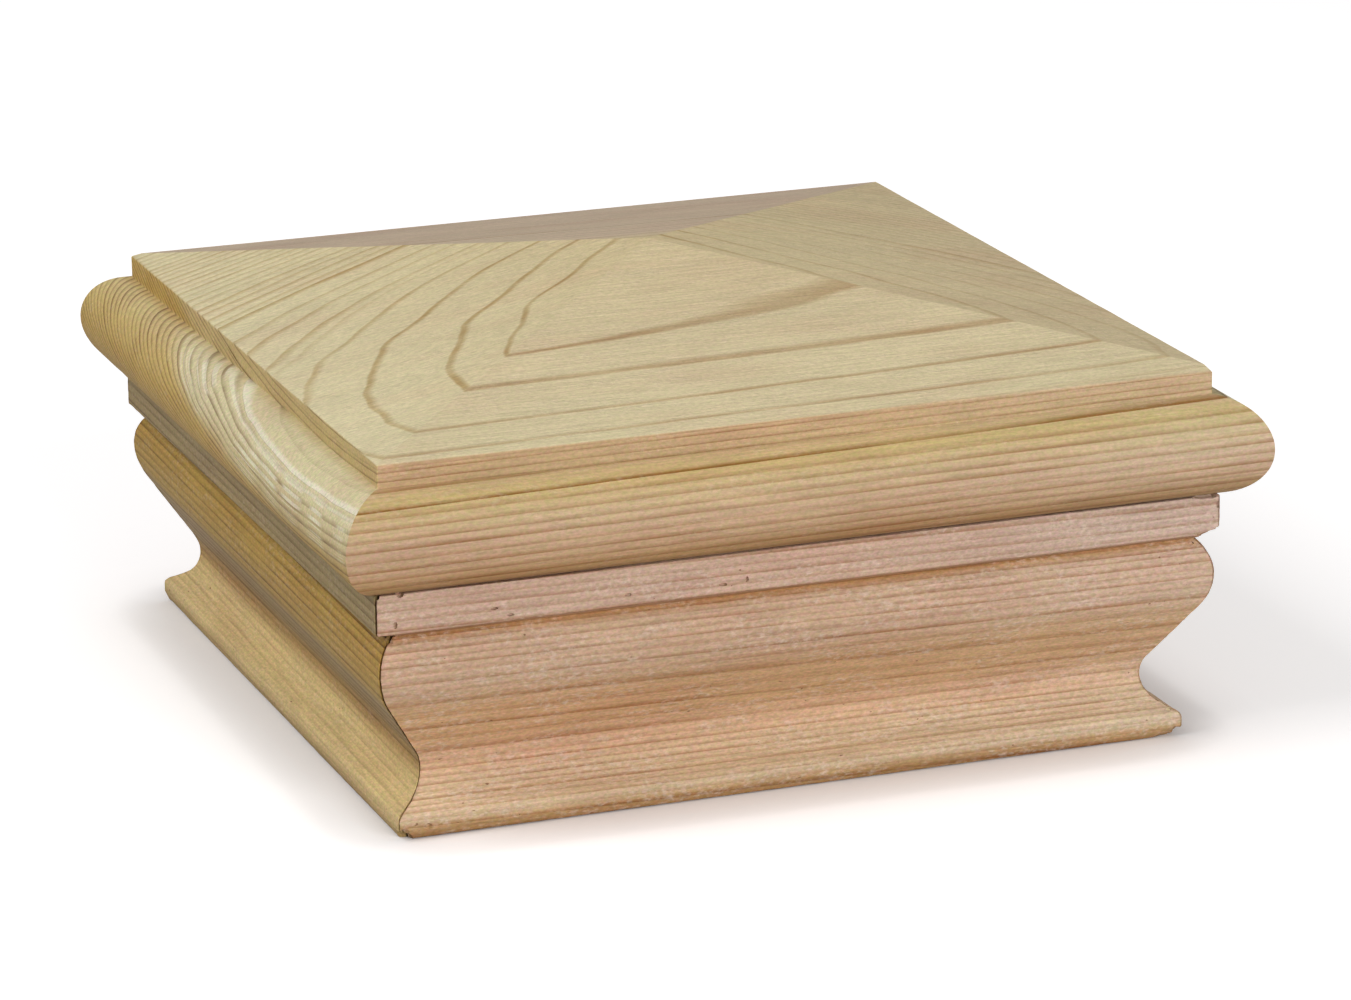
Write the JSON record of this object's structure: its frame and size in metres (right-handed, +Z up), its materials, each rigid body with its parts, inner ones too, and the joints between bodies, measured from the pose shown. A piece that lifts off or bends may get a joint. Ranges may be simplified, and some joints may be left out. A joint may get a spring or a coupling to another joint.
{
  "type": "pyramid post cap",
  "caption": "Square timber post cap: a low pyramid on a bullnosed block, over a mitred frame of ogee moulding that slips onto the head of the post.",
  "frame": {"origin": "centre of the rim that the mitred frame stands on, at the foot of the cap", "axes": "+Z up through the top of the pyramid, +X along the grain of the block, -Y out of the front strip"},
  "size_m": [0.143, 0.143, 0.0689],
  "materials": {
    "block_timber": "planed and moulded, bare treated softwood",
    "strip_timber": "moulded, bare treated softwood",
    "brad_steel": "galvanised"
  },
  "bodies": {
    "root": {"cap_block": "block_timber", "front_strip": "strip_timber", "right_strip": "strip_timber", "back_strip": "strip_timber", "left_strip": "strip_timber", "brad_nails": "brad_steel"}
  },
  "joints": []
}
